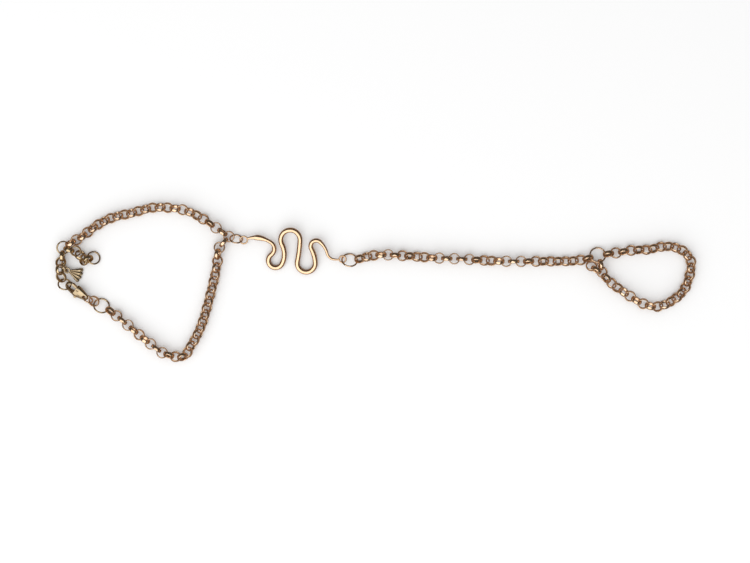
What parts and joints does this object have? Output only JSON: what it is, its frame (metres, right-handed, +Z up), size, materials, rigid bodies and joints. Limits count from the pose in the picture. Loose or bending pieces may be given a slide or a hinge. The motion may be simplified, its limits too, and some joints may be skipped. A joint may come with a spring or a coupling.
{
  "type": "hand chain bracelet",
  "caption": "Hand chain lying flat: a wrist chain with a lobster clasp and an extender, a serpent connector, a chain over the hand and a finger loop.",
  "frame": {"origin": "middle of the bracelet's bounding box, on the surface it lies on", "axes": "+X from the wrist loop to the finger loop, +Y towards the picture's top edge, +Z up from the surface"},
  "size_m": [0.2008, 0.0501, 0.0043],
  "materials": {
    "charm": "polished pale gold plate",
    "clasp": "polished pale gold plate",
    "serpent": "bright polished rose gold plate",
    "gold_links": "polished pale gold plate",
    "rose_links": "polished rose gold plate"
  },
  "bodies": {
    "bracelet": {"wrist_chain_upper": "rose_links", "wrist_chain_side": "rose_links", "wrist_chain_lower": "rose_links", "junction_link": "rose_links", "wrist_ring": "rose_links", "serpent": "serpent", "hand_ring": "rose_links", "hand_chain": "rose_links", "finger_ring": "rose_links", "finger_chain": "rose_links", "spare_links": "rose_links", "end_ring": "gold_links", "extender_chain": "gold_links", "catch_ring": "gold_links", "extender_tail": "gold_links", "tail_ring": "gold_links", "charm_ring": "gold_links", "fan_charm": "charm", "clasp_body": "clasp", "clasp_pin": "clasp", "clasp_links": "rose_links", "clasp_ring": "gold_links"},
    "lever": {"clasp_lever": "clasp"}
  },
  "joints": [
    {"name": "clasp_lever", "type": "hinge", "parent": "bracelet", "child": "lever", "pos_m": [-0.0935, -0.0028, 0.0022], "axis": [-0.2939, -0.4045, 0.866], "range_deg": [0, 20], "stiffness_Nm_per_rad": 0.002, "springref_deg": -28.65}
  ]
}
